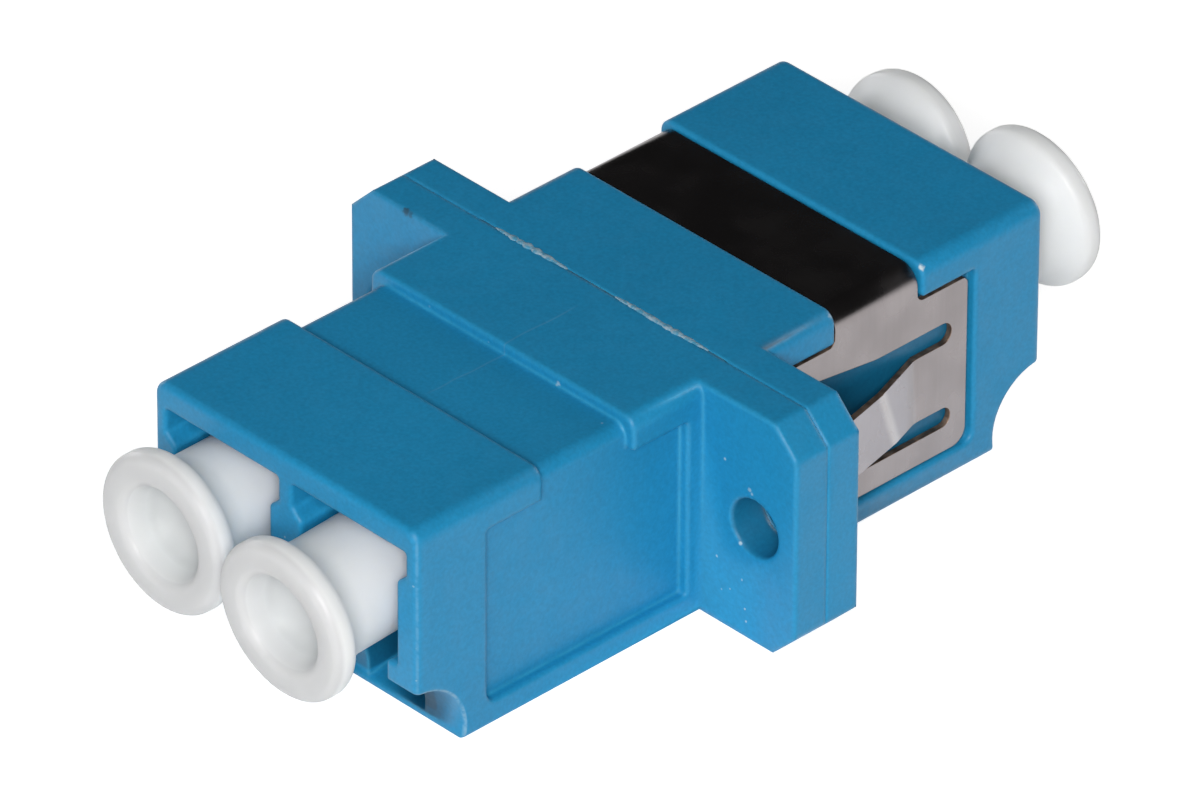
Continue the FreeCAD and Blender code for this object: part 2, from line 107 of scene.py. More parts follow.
# for the materials, in mm; a pair is the two ends of a range or of a fade
SOFT_EDGE = 0.28              # reach of the softly moulded edges' shading
PLATE_OUT = 6.36              # outside of the clip's side plates
# painted highlight along the crease of each tongue, placed by these
CREASE_START = 6.4            # crease of a tongue: its depth at the tongue's top
CREASE_FOOT = 5.55            # height of the tongue's top
CREASE_SLANT = 0.415          # depth gained for each mm down
# painted dark reflection: the clip's faces and sheared edges are darkened on the strap, between
# these heights
STRAP_SHADE = (8.6, 9.05)     # heights at which the clip's faces turn into the strap
CUT_SHADE = (8.2, 8.7)        # and its sheared edges
# the caps' cups are painted a little lighter, and made rougher, past this depth
CUP_MOUTH = 17.45             # depth along Y where the caps' cups begin
CUP_FADE = 0.8
# painted shade: the plastic is darkened at the screw holes' walls, in the recess under the clip
# and in the latch bays, over these ranges
HOLE_X, HOLE_Z = 9.0, 4.69    # axis of a screw hole
HOLE_SHADE = (1.2, 1.08)      # how far from it the shade begins and is full
RECESS_FLOOR = (5.95, 6.2)    # recess under the clip: out from the middle
RECESS_LENGTH = (2.1, 11.6)   # along the rear half
RECESS_TOP = (8.3, 8.0)       # height at which its shade begins and is full
BAY_HEIGHTS = (0.4, 2.5)      # latch bays
BAY_DEPTH = (13.0, 12.4)      # along each half, from the mouth inwards
BAY_SIDE = (5.2, 5.0)         # from the outer wall inwards
NOTCH_Z, NOTCH_RADIUS = 0.62, 2.2  # finger notch: height of its axis
NOTCH_RUB = (-0.03, 0.12)     # whitened rim, from the notch's radius
NOTCH_SIDE = (6.3, 6.4)       # side face that the rim lies in
UPRIGHT_END = (14.6, 14.7)    # upright edge at the port face: along
UPRIGHT_SIDE = (6.34, 6.44)   # and out from the middle
FLOW_LINE = (0.35, 0.06, -8.6, -1.0)  # place across, width, front end and rear end

# how each cap sits: end (+1 rear, -1 front), side (+1 right, -1 left), how far it is pulled out
# and how far it droops at the port face as it turns about its bead, in mm
CAP_SEATS = {
    "front_left": (-1, -1, 0.0, 0.04),
    "front_right": (-1, 1, 0.35, 0.2),
    "rear_left": (1, -1, 0.6, 0.24),
    "rear_right": (1, 1, 0.55, -0.2),
}

# small marks on the mouldings in mm: place, radius and strength
PALE_MARKS = (
    ((2.80, -4.78, 9.08), 0.13, 0.5), ((2.74, -4.74, 8.95), 0.10, 0.5),
    ((7.56, -1.5, 6.83), 0.07, 0.7), ((7.20, -1.5, 2.68), 0.07, 0.7),
    ((8.43, -1.5, 2.31), 0.06, 0.5), ((8.59, -1.5, 1.19), 0.06, 0.7),
    ((6.30, -14.73, 7.25), 0.05, 0.5), ((6.42, -14.73, 4.75), 0.06, 0.8),
    ((6.42, -14.73, 3.45), 0.07, 0.8), ((-0.62, -4.72, 9.1), 0.06, 0.4),
    ((8.77, -1.5, 6.16), 0.12, 0.5), ((8.87, -1.5, 6.05), 0.09, 0.5),
    ((8.65, -1.5, 0.70), 0.06, 0.6), ((7.86, -1.5, 1.65), 0.05, 0.5),
    ((7.45, -1.5, 1.44), 0.05, 0.4), ((8.32, -1.5, 3.75), 0.10, 0.8),
    # painted highlights: the next two are glints on the top corners of the clip's recess
    ((6.40, 4.66, 9.27), 0.18, 1.0), ((6.37, 8.99, 9.27), 0.20, 1.0),
)
DARK_MARKS = (((-8.20, -1.5, 9.33), 0.22, 0.8), ((-7.98, -1.5, 9.28), 0.16, 0.6))


# -------- settings

def length(name, description, default):
    """Property for a size, given in millimetres."""
    return FloatProperty(name=name, description=description, default=default * MM,
                         unit="LENGTH", subtype="DISTANCE", precision=5, min=0.0)


def colour(name, description, default):
    """Property for a colour, in linear values."""
    return FloatVectorProperty(name=name, description=description, default=default,
                               subtype="COLOR", size=3, min=0.0, max=1.0)


def angle(name, description, degrees):
    """Property for an angle."""
    return FloatProperty(name=name, description=description, default=math.radians(degrees),
                         unit="ROTATION", subtype="ANGLE")


def share(name, description, default):
    """Property for a value from 0 to 1."""
    return FloatProperty(name=name, description=description, default=default, min=0.0, max=1.0,
                         subtype="FACTOR")


def light(name, description, default):
    """Property for a light: what a surface facing it receives."""
    return FloatProperty(name=name, description=description, default=default, min=0.0)


class HousingSettings(bpy.types.PropertyGroup):
    """Finish of the two half housings and the weld between them."""
    base: colour("Plastic", "Colour of the moulded plastic", (0.013, 0.243, 0.475))
    # edge: painted highlight, the colour that the rounded edges are lightened towards
    edge: colour("Edge", "Colour that rounded edges catch", (0.04, 0.37, 0.62))
    # dust: also the colour of the two painted glints at the recess corners
    dust: colour("Dust", "Colour of dust and scuffs", (0.42, 0.55, 0.62))
    dirt: colour("Dirt", "Colour of the dark marks", (0.02, 0.05, 0.08))
    flash_blue: colour("Flash", "Colour of the weld flash", (0.08, 0.30, 0.46))
    flash_pale: colour("Torn flash", "Colour of the flash where it is torn", (0.30, 0.43, 0.52))
    roughness: share("Roughness", "Roughness of the satin finish", 0.41)
    # painted shade: clip_shade darkens the plastic under the clip, bay_shade in the screw holes
    # and latch bays
    clip_shade: share("Under the clip", "Tone of the plastic under the clip", 0.52)
    bay_shade: share("Bays", "Tone of the plastic in the screw holes and latch bays", 0.6)
    rub: share("Rub", "Whitening of the rubbed edges at the front", 0.42)
    edge_radius: length("Edge radius", "Rounding of the moulding's outer edges", 0.11)
    seam_keep: length("Seam", "Edges this near the weld plane stay sharp", 0.06)
    flash_height: length("Flash height", "How far the weld flash stands out of the seam", 0.07)


class ClipSettings(bpy.types.PropertyGroup):
    """Finish of the steel panel clip."""
    plate: colour("Plate", "Colour of the rolled steel on the side plates", (0.279, 0.256, 0.259))
    # painted reflection: tongue tints the bent tongues; crease is a painted highlight along each
    # tongue's crease
    tongue: colour("Tongue", "Colour of the spring tongues past their bend", (0.286, 0.27, 0.287))
    crease: colour("Crease", "Colour along the crease of each tongue", (0.43, 0.41, 0.41))
    cut: colour("Cut edge", "Colour of the sheared edges", (0.16, 0.10, 0.07))
    cut_bright: colour("Bright cut", "Colour of their brighter bites", (0.32, 0.22, 0.16))
    dust: colour("Dust", "Colour of dust", (0.55, 0.45, 0.40))
    roughness: share("Roughness", "Roughness of the rolled surface", 0.26)
    # painted dark reflection: strap_shade and cut_shade darken the strap's faces and sheared edges
    strap_shade: share("Strap", "Tone of the faces above the bends", 0.55)
    cut_shade: share("Strap's edges", "Tone of the sheared edges above the bends", 0.1)
    edge_radius: length("Edge radius", "Rounding of the sheet's edges", 0.025)


class CapSettings(bpy.types.PropertyGroup):
    """Sizes and finish of the dust caps; depths and heights are from the port face."""
    # painted light: one plastic in three tones by which way a surface faces; plastic on the barrel
    # and behind the rim, face darker where it faces out of the port, cup deep in the cup
    plastic: colour("Plastic", "Colour of the thick waxy plastic", (0.84, 0.865, 0.875))
    thin: colour("Face", "Colour of the plastic on the face and in the cup", (0.59, 0.60, 0.615))
    cup: colour("Cup", "Colour of the plastic deep in the cup", (0.60, 0.62, 0.63))
    dust: colour("Dust", "Colour of dust", (0.45, 0.44, 0.42))
    glow_depth: length("Glow depth", "How far light travels in the plastic", 1.8)
    steps: IntProperty(name="Steps", description="Steps of the turned form", default=112, min=24)
    rounding: IntProperty(name="Rounding", description="Steps of a corner", default=7, min=2)
    stand_off: length("Stand-off", "Port face to the front of the rim", 2.9)
    barrel_radius: length("Barrel radius", "Outside of the barrel", 2.19)
    bore_radius: length("Bore radius", "Inside of the barrel", 1.45)
    nose_radius: length("Nose radius", "Outside of the barrel's inner end", 2.05)
    bead_radius: length("Bead radius", "Outside of the bead that grips the port", 2.29)
    bead_depth: length("Bead depth", "Port face to the middle of the bead", 3.55)
    bead_width: length("Bead width", "Flat part of the bead", 0.4)
    bead_ramp: length("Bead ramp", "Length of each side of the bead", 0.15)
    bead_edge: length("Bead edge", "Rounding of the bead's edges", 0.06)
    nose_length: length("Nose length", "Bead to the inner end", 1.4)
    nose_edge: length("Nose edge", "Rounding of the inner end's outer edge", 0.15)
    bore_edge: length("Bore edge", "Rounding of the inner end's inner edge", 0.05)
    bore_corner: length("Bore corner", "Rounding at the bottom of the bore", 0.2)
    flare_start: length("Flare start", "Port face to the root of the flare", 1.4)
    flare_radius: length("Flare radius", "Hollow curve under the rim", 1.4)
    rim_radius: length("Rim radius", "Outside of the rim", 3.0)
    rim_thickness: length("Rim thickness", "Thickness of the rim", 0.8)
    rim_edge_radius: length("Rim edge", "Rounding of the rim's edges", 0.36)
    cup_radius: length("Cup radius", "Mouth of the cup in the front", 1.86)
    cup_taper: length("Cup taper", "Narrowing of the cup down to its floor", 0.5)
    cup_depth: length("Cup depth", "Depth of the cup", 1.7)
    cup_mouth_edge: length("Cup mouth edge", "Rounding of the cup's mouth", 0.35)
    cup_floor_edge: length("Cup floor edge", "Rounding round the cup's floor", 1.15)
    web: length("Web", "Thickness of the floor of the cup", 0.8)


class StageSettings(bpy.types.PropertyGroup):
    """Camera and studio light."""
    azimuth: angle("Azimuth", "Camera round the adapter from the front", 46.143)
    elevation: angle("Elevation", "Camera above the horizon", 33.903)
    roll: angle("Roll", "Turn of the camera about its line of sight", 0.232)
    distance: length("Distance", "Camera to the middle of the body", 510.95)
    lens: FloatProperty(name="Lens", description="Focal length, in mm", default=448.32,
                        min=1.0, max=2000.0)
    offset_right: FloatProperty(name="Right", description="Aim to the right of the middle",
                                default=0.073 * MM, unit="LENGTH", precision=6)
    offset_up: FloatProperty(name="Up", description="Aim above the middle",
                             default=-0.129 * MM, unit="LENGTH", precision=6)
    ambient: light("Ambient", "Light from all round", 0.03)


for lamp, azimuth, elevation, received, *_ in LAMPS:
    StageSettings.__annotations__.update({
        f"{lamp}_azimuth": angle(f"{lamp.title()} azimuth", "Round from the front", azimuth),
        f"{lamp}_elevation": angle(f"{lamp.title()} elevation", "Above the horizon", elevation),
        f"{lamp}_light": light(lamp.title(), "Light of the lamp", received),
    })

SETTINGS = {
    "adapter_housing": HousingSettings,
    "adapter_clip": ClipSettings,
    "adapter_cap": CapSettings,
    "adapter_stage": StageSettings,
}


# -------- node trees

def add_node(tree, kind, inputs=None, **settings):
    """Shader node with its inputs: a socket is linked to, anything else is set."""
    made = tree.nodes.new(kind)
    for key, value in settings.items():
        setattr(made, key, value)
    for key, value in (inputs or {}).items():
        if isinstance(value, bpy.types.NodeSocket):
            tree.links.new(value, made.inputs[key])
        else:
            made.inputs[key].default_value = value
    return made


def calculate(tree, operation, first, *others, clamp=False):
    """Output of a Math node; more than two values go through a chain of them."""
    for other in others or (0.0,):
        first = add_node(tree, "ShaderNodeMath", {0: first, 1: other}, operation=operation,
                         use_clamp=clamp).outputs[0]
    return first


def ramp(tree, value, start, end, low=0.0, high=1.0):
    """Value eased from `low` to `high` as the input goes from `start` to `end`."""
    made = add_node(tree, "ShaderNodeMapRange",
                    {"Value": value, "From Min": start, "From Max": end,
                     "To Min": low, "To Max": high}, interpolation_type="SMOOTHSTEP")
    return made.outputs["Result"]


def mix_colours(tree, factor, first, second):
    """Colour between two colours."""
    made = add_node(tree, "ShaderNodeMix", {0: factor, MIX_FIRST: first, MIX_SECOND: second},
                    data_type="RGBA")
    return made.outputs[MIX_RESULT]


def opaque(rgb):
    """Colour with its alpha."""
    return (*rgb, 1.0)


def plain_colour(tree, rgb):
    """One colour, as the output of a node."""
    made = tree.nodes.new("ShaderNodeRGB")
    made.outputs[0].default_value = opaque(rgb)
    return made.outputs[0]


def millimetres(tree, scale=(1.0, 1.0, 1.0)):
    """The piece's own coordinates in millimetres, stretched for a pattern."""
    place = add_node(tree, "ShaderNodeTexCoord")
    mapping = add_node(tree, "ShaderNodeMapping", {"Vector": place.outputs["Object"],
                                                   "Scale": [s / MM for s in scale]})
    return mapping.outputs["Vector"]


def coordinates(tree):
    """X, Y and Z of the piece's own coordinates in millimetres."""
    place = add_node(tree, "ShaderNodeSeparateXYZ", {"Vector": millimetres(tree)})
    return [place.outputs[axis] for axis in "XYZ"]


def distance_from(tree, place, **values):
    """How far the given coordinates lie from a place; an axis left out doesn't count."""
    point = add_node(tree, "ShaderNodeCombineXYZ", values).outputs["Vector"]
    return add_node(tree, "ShaderNodeVectorMath", {0: point, 1: place},
                    operation="DISTANCE").outputs["Value"]


def noise_at(tree, vector, scale, detail=2.0, roughness=0.5):
    """Noise value; `scale` is in features for each unit of the vector."""
    made = add_node(tree, "ShaderNodeTexNoise", {"Vector": vector, "Scale": scale,
                                                 "Detail": detail, "Roughness": roughness})
    return made.outputs["Fac"]


def new_group(name, inputs, outputs):
    """Empty node group with named value inputs (defaults given) and value outputs."""
    tree = bpy.data.node_groups.new(name, "ShaderNodeTree")
    for label, default in inputs.items():
        socket = tree.interface.new_socket(label, in_out="INPUT", socket_type="NodeSocketFloat")
        socket.default_value = default
    for label in outputs:
        tree.interface.new_socket(label, in_out="OUTPUT", socket_type="NodeSocketFloat")
    return tree, tree.nodes.new("NodeGroupInput"), tree.nodes.new("NodeGroupOutput")


def use_group(tree, name, **inputs):
    """A node group placed in a material with its own values; returns its outputs."""
    values = {key.replace("_", " ").capitalize(): value for key, value in inputs.items()}
    made = add_node(tree, "ShaderNodeGroup", node_tree=bpy.data.node_groups[name])
    for key, value in values.items():
        made.inputs[key].default_value = value
    return made.outputs


def build_grain_group():
    """Fine moulded or rolled grain over slow waves, as a height in metres."""
    tree, entry, out = new_group("Surface grain", {"Features": 6.0, "Waves": 0.35,
                                                   "Grain height": 0.002, "Wave height": 0.01},
                                 ["Height"])
    fine = noise_at(tree, millimetres(tree), entry.outputs["Features"], 3.0, 0.6)
    slow = noise_at(tree, millimetres(tree), entry.outputs["Waves"], 1.0)
    fine = calculate(tree, "MULTIPLY", fine, entry.outputs["Grain height"])
    slow = calculate(tree, "MULTIPLY", slow, entry.outputs["Wave height"])
    height = calculate(tree, "MULTIPLY", calculate(tree, "ADD", fine, slow), MM)
    tree.links.new(height, out.inputs["Height"])


def build_edge_group():
    """Mask of the edges: where a normal rounded over `Reach` millimetres leaves the true one."""
    tree, entry, out = new_group("Edge mask", {"Reach": 0.1, "Contrast": 4.0}, ["Mask"])
    reach = calculate(tree, "MULTIPLY", entry.outputs["Reach"], MM)
    rounded = add_node(tree, "ShaderNodeBevel", {"Radius": reach}, samples=6)
    true = add_node(tree, "ShaderNodeNewGeometry")
    product = add_node(tree, "ShaderNodeVectorMath", {0: rounded.outputs["Normal"],
                                                      1: true.outputs["Normal"]},
                       operation="DOT_PRODUCT")
    turned = calculate(tree, "SUBTRACT", 1.0, product.outputs["Value"])
    mask = calculate(tree, "MULTIPLY", turned, entry.outputs["Contrast"], clamp=True)
    tree.links.new(mask, out.inputs["Mask"])


def build_dust_group():
    """Mask of scattered specks, in patches; `Spacing` is in millimetres."""
    tree, entry, out = new_group("Dust specks", {"Spacing": 1.0, "Size": 0.08, "Share": 0.3},
                                 ["Mask"])
    density = calculate(tree, "DIVIDE", 1.0, entry.outputs["Spacing"])
    cells = add_node(tree, "ShaderNodeTexVoronoi", {"Vector": millimetres(tree), "Scale": density,
                                                    "Randomness": 1.0})
    reach = calculate(tree, "MULTIPLY", entry.outputs["Size"], 0.5)
    speck = ramp(tree, cells.outputs["Distance"], entry.outputs["Size"], reach)
    own = add_node(tree, "ShaderNodeSeparateColor", {"Color": cells.outputs["Color"]})
    kept = calculate(tree, "LESS_THAN", own.outputs["Red"], entry.outputs["Share"])
    patches = ramp(tree, noise_at(tree, millimetres(tree), 0.25), 0.42, 0.6)
    mask = calculate(tree, "MULTIPLY", speck, kept, patches)
    tree.links.new(mask, out.inputs["Mask"])


def build_mottle_group():
    """Slow uneven factor about 1; `Features` are for each millimetre."""
    tree, entry, out = new_group("Mottle", {"Features": 0.2, "Depth": 0.06}, ["Factor"])
    value = noise_at(tree, millimetres(tree), entry.outputs["Features"], 3.0)
    centred = calculate(tree, "SUBTRACT", value, 0.5)
    swing = calculate(tree, "MULTIPLY", centred, calculate(tree, "MULTIPLY",
                                                           entry.outputs["Depth"], 4.0))
    tree.links.new(calculate(tree, "ADD", swing, 1.0), out.inputs["Factor"])


def build_spot_group():
    """Mask of one ragged mark at a place in millimetres."""
    tree, entry, out = new_group("Spot", {"Place x": 0.0, "Place y": 0.0, "Place z": 0.0,
                                          "Radius": 0.1}, ["Mask"])
    reach = distance_from(tree, millimetres(tree), **{
        axis: entry.outputs[f"Place {axis.lower()}"] for axis in "XYZ"})
    uneven = calculate(tree, "SUBTRACT", noise_at(tree, millimetres(tree), 9.0), 0.5)
    ragged = calculate(tree, "MULTIPLY", uneven, entry.outputs["Radius"])
    core = calculate(tree, "MULTIPLY", entry.outputs["Radius"], 0.4)
    mask = ramp(tree, calculate(tree, "ADD", reach, ragged), entry.outputs["Radius"], core)
    tree.links.new(mask, out.inputs["Mask"])


def build_groups():
    """Every shared effect, once."""
    for name, build in (("Surface grain", build_grain_group), ("Edge mask", build_edge_group),
                        ("Dust specks", build_dust_group), ("Mottle", build_mottle_group),
                        ("Spot", build_spot_group)):
        if name not in bpy.data.node_groups:
            build()


# -------- materials

def new_material(name, **constants):
    """Material with a Principled shader; returns it, its tree and the shader."""
    material = bpy.data.materials.new(name)
    material.use_nodes = True
    tree = material.node_tree
    tree.nodes.clear()
    shader = add_node(tree, "ShaderNodeBsdfPrincipled", constants)
    add_node(tree, "ShaderNodeOutputMaterial", {"Surface": shader.outputs["BSDF"]})
    return material, tree, shader


def scaled_colour(tree, value, factor):
    """Colour times a value."""
    return add_node(tree, "ShaderNodeVectorMath", {0: value, 1: factor},
                    operation="MULTIPLY").outputs["Vector"]


def bump_into(tree, shader, height, softened=0.0):
    """Height in metres, as the shader's normal, over edges softened by a radius in mm."""
    bump = add_node(tree, "ShaderNodeBump", {"Height": height, "Distance": 1.0})
    if softened:
        soft = add_node(tree, "ShaderNodeBevel", {"Radius": softened * MM}, samples=8)
        tree.links.new(soft.outputs["Normal"], bump.inputs["Normal"])
    tree.links.new(bump.outputs["Normal"], shader.inputs["Normal"])


def line_mask(tree, across, along, at, width, start, end):
    """Mask of a thin straight line: `across` is near `at` while `along` is between two ends."""
    off = calculate(tree, "ABSOLUTE", calculate(tree, "SUBTRACT", across, at))
    return calculate(tree, "MULTIPLY", ramp(tree, off, width, 0.0),
                     ramp(tree, along, start, start + 1.0), ramp(tree, along, end, end - 1.0))


def between(tree, value, low, high, soft):
    """Mask of a value between two limits, eased over `soft` inside each."""
    return calculate(tree, "MULTIPLY", ramp(tree, value, low, low + soft),
                     ramp(tree, value, high, high - soft))


def marks_mask(tree, marks):
    """Mask of every mark in a list, each at its own strength."""
    total = 0.0
    for (x, y, z), radius, strength in marks:
        spot = use_group(tree, "Spot", place_x=x, place_y=y, place_z=z, radius=radius)["Mask"]
        total = calculate(tree, "MAXIMUM", total, calculate(tree, "MULTIPLY", spot, strength))
    return total


def dusted(tree, base, dust, **specks):
    """Colour with faint specks of dust over it."""
    mask = use_group(tree, "Dust specks", **specks)["Mask"]
    return mix_colours(tree, calculate(tree, "MULTIPLY", mask, 0.3), base, opaque(dust))


def darkened(tree, tone, value, start, end, factor):
    """Tone eased down to `factor` of itself as a value goes from `start` to `end`."""
    return calculate(tree, "MULTIPLY", tone, ramp(tree, value, start, end, 1.0, factor))


def housing_tone(tree, out, y, z, settings):
    """Mottled factor for the plastic's colour, darker where little light gets in: under the clip,
    in the screw holes and in the latch bays."""
    tone = calculate(tree, "MULTIPLY",
                     use_group(tree, "Mottle", features=0.16, depth=0.05)["Factor"],
                     use_group(tree, "Mottle", features=7.0, depth=0.1)["Factor"])
    # painted shade under the clip, in the screw holes and in the latch bays
    under_clip = calculate(tree, "MULTIPLY", between(tree, out, *RECESS_FLOOR, 0.06),
                           between(tree, y, *RECESS_LENGTH, 0.25), ramp(tree, z, *RECESS_TOP))
    tone = darkened(tree, tone, under_clip, 0.0, 1.0, settings.clip_shade)
    from_hole = distance_from(tree, (HOLE_X, 0.0, HOLE_Z), X=out, Z=z)
    tone = darkened(tree, tone, from_hole, *HOLE_SHADE, settings.bay_shade)
    in_bay = calculate(tree, "MULTIPLY", between(tree, z, *BAY_HEIGHTS, 0.2),
                       ramp(tree, calculate(tree, "ABSOLUTE", y), *BAY_DEPTH),
                       ramp(tree, out, *BAY_SIDE))
    return darkened(tree, tone, in_bay, 0.0, 1.0, settings.bay_shade)


def rubbed_mask(tree, out, y, z):
    """Mask of the edges whitened by handling: the front finger notches' rims and the upright
    edges at the front port face."""
    end = calculate(tree, "ABSOLUTE", y)
    from_notch = distance_from(tree, (0.0, PORT_FACE / MM, NOTCH_Z), Y=end, Z=z)
    inner, outer = (NOTCH_RADIUS + off for off in NOTCH_RUB)
    rim = calculate(tree, "MULTIPLY", between(tree, from_notch, inner, outer, 0.06),
                    ramp(tree, out, *NOTCH_SIDE))
    upright = calculate(tree, "MULTIPLY", ramp(tree, end, *UPRIGHT_END),
                        ramp(tree, out, *UPRIGHT_SIDE, 0.0, 0.55))
    torn = ramp(tree, noise_at(tree, millimetres(tree), 3.5, 3.0), 0.3, 0.6, 0.15)
    front = ramp(tree, y, 0.0, -1.0)
    return calculate(tree, "MULTIPLY", calculate(tree, "MAXIMUM", rim, upright), torn, front)


def housing_material(settings):
    """Satin blue plastic: fine grain, a painted highlight along the edges, two painted glints,
    dust, rubbed rims, a faint flow line, and painted shade under the clip, in holes and bays.
    """
    material, tree, shader = new_material("housing_blue", **{"Specular IOR Level": 0.32})
    x, y, z = coordinates(tree)
    out = calculate(tree, "ABSOLUTE", x)
    toned = scaled_colour(tree, plain_colour(tree, settings.base),
                          housing_tone(tree, out, y, z, settings))
    # painted highlight: rounded edges lightened unevenly towards the edge colour
    edges = calculate(tree, "MULTIPLY",
                      use_group(tree, "Edge mask", reach=0.25, contrast=3.0)["Mask"],
                      ramp(tree, noise_at(tree, millimetres(tree), 0.9), 0.3, 0.65, 0.25, 0.8))
    edge_highlighted = mix_colours(tree, edges, toned, opaque(settings.edge))
    dust = use_group(tree, "Dust specks", spacing=0.9, size=0.07, share=0.08)["Mask"]
    wander = calculate(tree, "MULTIPLY", noise_at(tree, millimetres(tree), 0.3), 0.5)
    flow = line_mask(tree, calculate(tree, "ADD", x, wander), y, *FLOW_LINE)
    # dust, the flow line, rubbed rims and marks, among them two painted glints
    pale = calculate(tree, "MAXIMUM", calculate(tree, "MULTIPLY", dust, 0.7),
                     calculate(tree, "MULTIPLY", flow, 0.07),
                     calculate(tree, "MULTIPLY", rubbed_mask(tree, out, y, z), settings.rub),
                     marks_mask(tree, PALE_MARKS))
    dusty = mix_colours(tree, pale, edge_highlighted, opaque(settings.dust))
    tree.links.new(mix_colours(tree, marks_mask(tree, DARK_MARKS), dusty, opaque(settings.dirt)),
                   shader.inputs["Base Color"])
    rough = ramp(tree, noise_at(tree, millimetres(tree), 1.3, 4.0), 0.25, 0.75,
                 settings.roughness - 0.05, settings.roughness + 0.07)
    tree.links.new(rough, shader.inputs["Roughness"])
    bump_into(tree, shader, use_group(tree, "Surface grain", features=9.0, waves=0.3,
                                      grain_height=0.0022, wave_height=0.02)["Height"],
              SOFT_EDGE)
    return material


def flash_material(settings):
    """Whitened plastic of the weld flash."""
    material, tree, shader = new_material("weld_flash", **{"Specular IOR Level": 0.3})
    torn = ramp(tree, noise_at(tree, millimetres(tree), 5.0, 3.0), 0.35, 0.65)
    tree.links.new(mix_colours(tree, torn, opaque(settings.flash_blue),
                               opaque(settings.flash_pale)), shader.inputs["Base Color"])
    tree.links.new(ramp(tree, torn, 0.0, 1.0, 0.3, 0.55), shader.inputs["Roughness"])
    return material


def tongue_colours(tree, plate, settings):
    """The plate's colour, and past the tongues' bend a cooler one as a painted reflection, with a
    painted highlight along the slanted crease.
    """
    x, y, z = coordinates(tree)
    proud = calculate(tree, "SUBTRACT", calculate(tree, "ABSOLUTE", x), PLATE_OUT)
    # painted reflection: cooler tint past the bend
    bent = mix_colours(tree, ramp(tree, proud, 0.0, 0.25), plate, opaque(settings.tongue))
    # painted highlight along the slanted crease
    slant = calculate(tree, "MULTIPLY", calculate(tree, "SUBTRACT", CREASE_FOOT, z),
                      CREASE_SLANT)
    off = calculate(tree, "SUBTRACT", y, calculate(tree, "ADD", slant, CREASE_START))
    line = calculate(tree, "MULTIPLY", ramp(tree, calculate(tree, "ABSOLUTE", off), 0.4, 0.05),
                     ramp(tree, proud, 0.15, 0.3), 0.8)
    return mix_colours(tree, line, bent, opaque(settings.crease))


def clip_material(settings):
    """Bright rolled steel with faint streaks along the strip, specks of dust, a painted dark
    reflection on the strap, and a painted reflection and highlight on the tongues.
    """
    material, tree, shader = new_material("clip_steel", Metallic=1.0)
    streaks = noise_at(tree, millimetres(tree, (0.25, 9.0, 0.25)), 1.0, 4.0, 0.6)
    clouds = noise_at(tree, millimetres(tree), 0.45, 2.0)
    tone = calculate(tree, "MULTIPLY", ramp(tree, streaks, 0.25, 0.75, 0.98, 1.02),
                     ramp(tree, clouds, 0.3, 0.7, 0.9, 1.08))
    # painted dark reflection: faces darkened towards the strap
    tone = darkened(tree, tone, coordinates(tree)[2], *STRAP_SHADE, settings.strap_shade)
    steel = tongue_colours(tree, plain_colour(tree, settings.plate), settings)
    tree.links.new(dusted(tree, scaled_colour(tree, steel, tone), settings.dust,
                          spacing=0.8, size=0.05, share=0.1), shader.inputs["Base Color"])
    rough = ramp(tree, clouds, 0.3, 0.7, settings.roughness - 0.03, settings.roughness + 0.04)
    tree.links.new(rough, shader.inputs["Roughness"])
    ripple = calculate(tree, "MULTIPLY", streaks, 0.0002 * MM)
    grain = use_group(tree, "Surface grain", features=5.0, waves=0.5, grain_height=0.0006,
                      wave_height=0.012)["Height"]
    bump_into(tree, shader, calculate(tree, "ADD", ripple, grain))
    return material


def cut_edge_material(settings):
    """Sheared edge of the clip's sheet: dark, warm and rougher than its faces, painted darker
    still on the strap as its dark reflection.
    """
    material, tree, shader = new_material("clip_cut_edge", Metallic=0.8)
    bite = noise_at(tree, millimetres(tree), 2.5, 2.0)
    sheared = mix_colours(tree, ramp(tree, bite, 0.35, 0.7), opaque(settings.cut),
                          opaque(settings.cut_bright))
    # painted dark reflection on the strap's sheared edges
    shade = ramp(tree, coordinates(tree)[2], *CUT_SHADE, 1.0, settings.cut_shade)
    tree.links.new(scaled_colour(tree, sheared, shade), shader.inputs["Base Color"])
    tree.links.new(ramp(tree, bite, 0.3, 0.7, 0.42, 0.6), shader.inputs["Roughness"])
    return material


